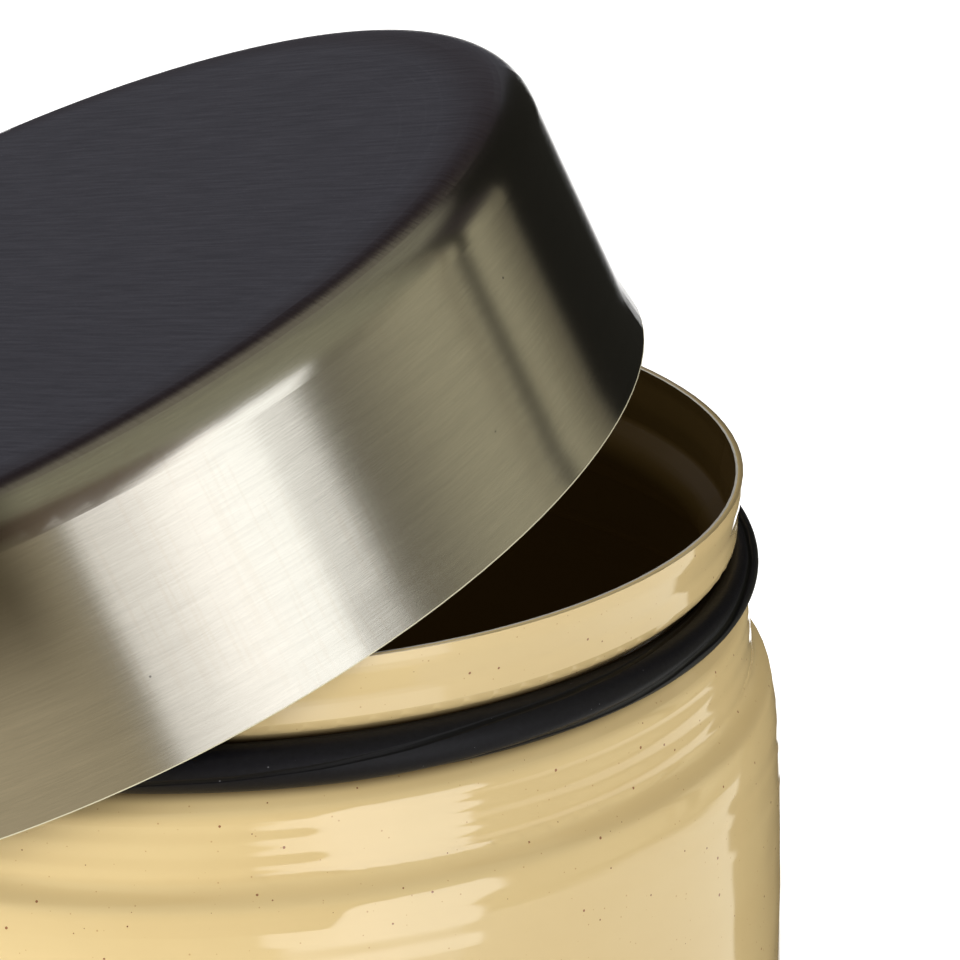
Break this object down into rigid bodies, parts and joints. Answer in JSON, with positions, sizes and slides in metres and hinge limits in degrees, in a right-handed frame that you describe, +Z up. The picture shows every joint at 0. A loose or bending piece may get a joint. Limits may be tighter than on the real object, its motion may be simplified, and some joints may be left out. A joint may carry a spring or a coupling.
{
  "type": "lidded storage jar",
  "caption": "Empty round painted steel jar with a rubber seal in a neck groove and a loose brushed steel cap lid leaning on its open mouth.",
  "frame": {"origin": "centre of the jar's foot, on the table plane", "axes": "+Z up along the jar's axis, towards the mouth; the leaning lid is tipped towards -X, its open side towards +X"},
  "size_m": [0.0888, 0.08, 0.1215],
  "materials": {
    "cream_paint": "gloss cream paint with fine brown specks",
    "base_steel": "gloss cream paint",
    "black_rubber": "satin black rubber",
    "brushed_lid": "brushed stainless steel"
  },
  "bodies": {
    "jar": {"jar_body": "cream_paint", "base_disc": "base_steel", "seal_ring": "black_rubber"},
    "lid": {"lid": "brushed_lid"}
  },
  "joints": [
    {"name": "lid_lift", "type": "slide", "parent": "jar", "child": "lid", "axis": [0, 0, 1], "range_m": [0, 0.06]}
  ]
}
